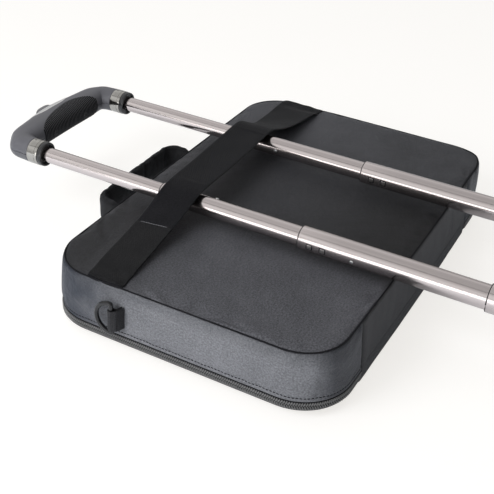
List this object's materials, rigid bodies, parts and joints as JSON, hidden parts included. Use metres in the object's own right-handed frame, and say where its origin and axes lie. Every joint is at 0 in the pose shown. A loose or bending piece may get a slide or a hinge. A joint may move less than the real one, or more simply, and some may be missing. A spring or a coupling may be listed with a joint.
{
  "type": "rolling laptop case",
  "caption": "Soft clamshell laptop case with a strap across its back that rides on a telescopic trolley handle with a padded grip and a wheeled foot.",
  "frame": {"origin": "centre of the flat face the front panel rests on", "axes": "+Z out of the back panel and its strap, +Y along the tubes towards the grip, +X to the right when looking along +Y with the strap side up"},
  "size_m": [0.4472, 0.8485, 0.114],
  "materials": {
    "tube_metal": "satin champagne-grey anodised",
    "black_plastic": "fine matte",
    "grip_plastic": "smooth satin grey",
    "pad_rubber": "ribbed",
    "ring_chrome": "bright nickel",
    "button_plastic": "metallised",
    "bright_steel": "bright",
    "ledge_metal": "satin",
    "foot_rubber": "matte",
    "hub_plastic": "satin grey",
    "wheel_tyre": "matte",
    "panel_fabric": "fine ballistic weave",
    "side_fabric": "satin weave with light sheen",
    "bottom_fabric": "smooth coated weave",
    "foam": "lined foam",
    "lining": "brushed lining",
    "webbing": "twill webbing",
    "handle_fabric": "padded webbing",
    "zip_tape": "zip tape and coil",
    "board": "board",
    "ring_metal": "gloss black"
  },
  "bodies": {
    "trolley_base": {"outer_tube_left": "tube_metal", "outer_tube_right": "tube_metal", "outer_bushes": "black_plastic", "base_housing": "black_plastic", "base_cover": "black_plastic", "base_screws": "bright_steel", "wheel_axle": "bright_steel", "axle_clips": "bright_steel", "load_ledge": "ledge_metal", "base_feet": "foot_rubber"},
    "wheel_left": {"wheel_hub_left": "hub_plastic", "wheel_tyre_left": "wheel_tyre"},
    "wheel_right": {"wheel_hub_right": "hub_plastic", "wheel_tyre_right": "wheel_tyre"},
    "lower_stage": {"lower_tube_left": "tube_metal", "lower_tube_right": "tube_metal", "lower_bushes": "black_plastic"},
    "middle_stage": {"middle_tube_left": "tube_metal", "middle_tube_right": "tube_metal", "middle_bushes": "black_plastic"},
    "upper_stage": {"upper_tube_left": "tube_metal", "upper_tube_right": "tube_metal", "grip_top_shell": "grip_plastic", "grip_bottom_shell": "grip_plastic", "grip_pad": "pad_rubber", "grip_screws": "bright_steel", "chrome_rings": "ring_chrome", "end_collars": "black_plastic"},
    "release": {"release_button": "button_plastic", "release_bar": "black_plastic", "push_rods": "bright_steel", "button_spring": "bright_steel"},
    "middle_pin_left": {"middle_lock_pin_left": "bright_steel"},
    "middle_pin_right": {"middle_lock_pin_right": "bright_steel"},
    "lower_pin_left": {"lower_lock_pin_left": "bright_steel"},
    "lower_pin_right": {"lower_lock_pin_right": "bright_steel"},
    "case": {"back_panel": "panel_fabric", "back_foam": "foam", "gusset_band": "side_fabric", "bottom_panel": "bottom_fabric", "zip_upper": "zip_tape", "trolley_strap": "webbing", "ring_tabs": "webbing", "handle_anchors": "webbing", "laptop_divider": "lining", "laptop_strap": "webbing", "base_stiffener": "board"},
    "front_lid": {"front_panel": "panel_fabric", "front_foam": "foam", "lid_rim": "side_fabric", "zip_lower": "zip_tape", "lid_hinge_strip": "bottom_fabric"},
    "carry_handle": {"carry_handle": "handle_fabric"},
    "d_ring_left": {"d_ring_left": "ring_metal"},
    "d_ring_right": {"d_ring_right": "ring_metal"},
    "zip_slider_left": {"zip_slider_left": "ring_metal"},
    "zip_slider_right": {"zip_slider_right": "ring_metal"},
    "zip_pull_left": {"zip_pull_left": "ring_metal"},
    "zip_pull_right": {"zip_pull_right": "ring_metal"}
  },
  "joints": [
    {"name": "wheel_left_spin", "type": "hinge", "parent": "trolley_base", "child": "wheel_left", "pos_m": [-0.127, -0.509, 0.082], "axis": [1, 0, 0], "continuous": true},
    {"name": "wheel_right_spin", "type": "hinge", "parent": "trolley_base", "child": "wheel_right", "pos_m": [0.127, -0.509, 0.082], "axis": [1, 0, 0], "continuous": true},
    {"name": "lower_stage_slide", "type": "slide", "parent": "trolley_base", "child": "lower_stage", "axis": [0, 1, 0], "range_m": [-0.174, 0]},
    {"name": "middle_stage_slide", "type": "slide", "parent": "lower_stage", "child": "middle_stage", "axis": [0, 1, 0], "range_m": [-0.148, 0]},
    {"name": "upper_stage_slide", "type": "slide", "parent": "middle_stage", "child": "upper_stage", "axis": [0, 1, 0], "range_m": [-0.14, 0]},
    {"name": "release_press", "type": "slide", "parent": "upper_stage", "child": "release", "axis": [0, -1, 0], "range_m": [0, 0.004], "stiffness_N_per_m": 400, "deforming": ["button_spring"]},
    {"name": "middle_pin_left_press", "type": "slide", "parent": "middle_stage", "child": "middle_pin_left", "axis": [-0.6428, 0, -0.766], "range_m": [0, 0.0007], "stiffness_N_per_m": 300},
    {"name": "middle_pin_right_press", "type": "slide", "parent": "middle_stage", "child": "middle_pin_right", "axis": [1, 0, 0], "range_m": [0, 0.0007], "stiffness_N_per_m": 300},
    {"name": "lower_pin_left_press", "type": "slide", "parent": "lower_stage", "child": "lower_pin_left", "axis": [0.9848, 0, 0.1736], "range_m": [0, 0.0007], "stiffness_N_per_m": 300},
    {"name": "lower_pin_right_press", "type": "slide", "parent": "lower_stage", "child": "lower_pin_right", "axis": [-0.9848, 0, 0.1736], "range_m": [0, 0.0007], "stiffness_N_per_m": 300},
    {"name": "case_slide", "type": "slide", "parent": "middle_stage", "child": "case", "axis": [0, -1, 0], "range_m": [0, 0.322]},
    {"name": "lid_open", "type": "hinge", "parent": "case", "child": "front_lid", "pos_m": [0, -0.147, 0.012], "axis": [-1, 0, 0], "range_deg": [0, 90]},
    {"name": "handle_swing", "type": "hinge", "parent": "case", "child": "carry_handle", "pos_m": [0, 0.15, 0.035], "axis": [1, 0, 0], "range_deg": [-32, 25], "stiffness_Nm_per_rad": 0.05},
    {"name": "ring_left_swing", "type": "hinge", "parent": "case", "child": "d_ring_left", "pos_m": [-0.2196, 0.062, 0.038], "axis": [0, 0, 1], "range_deg": [0, 110]},
    {"name": "ring_right_swing", "type": "hinge", "parent": "case", "child": "d_ring_right", "pos_m": [0.2196, 0.062, 0.038], "axis": [0, 0, -1], "range_deg": [0, 110]},
    {"name": "zip_left_run", "type": "slide", "parent": "case", "child": "zip_slider_left", "axis": [1, 0, 0], "range_m": [-0.14, 0]},
    {"name": "zip_right_run", "type": "slide", "parent": "case", "child": "zip_slider_right", "axis": [1, 0, 0], "range_m": [0, 0.14]},
    {"name": "zip_pull_left_swing", "type": "hinge", "parent": "zip_slider_left", "child": "zip_pull_left", "pos_m": [-0.02, 0.15175, 0.012], "axis": [0, 0, -1], "range_deg": [0, 110]},
    {"name": "zip_pull_right_swing", "type": "hinge", "parent": "zip_slider_right", "child": "zip_pull_right", "pos_m": [0.02, 0.15175, 0.012], "axis": [0, 0, 1], "range_deg": [0, 110]}
  ]
}
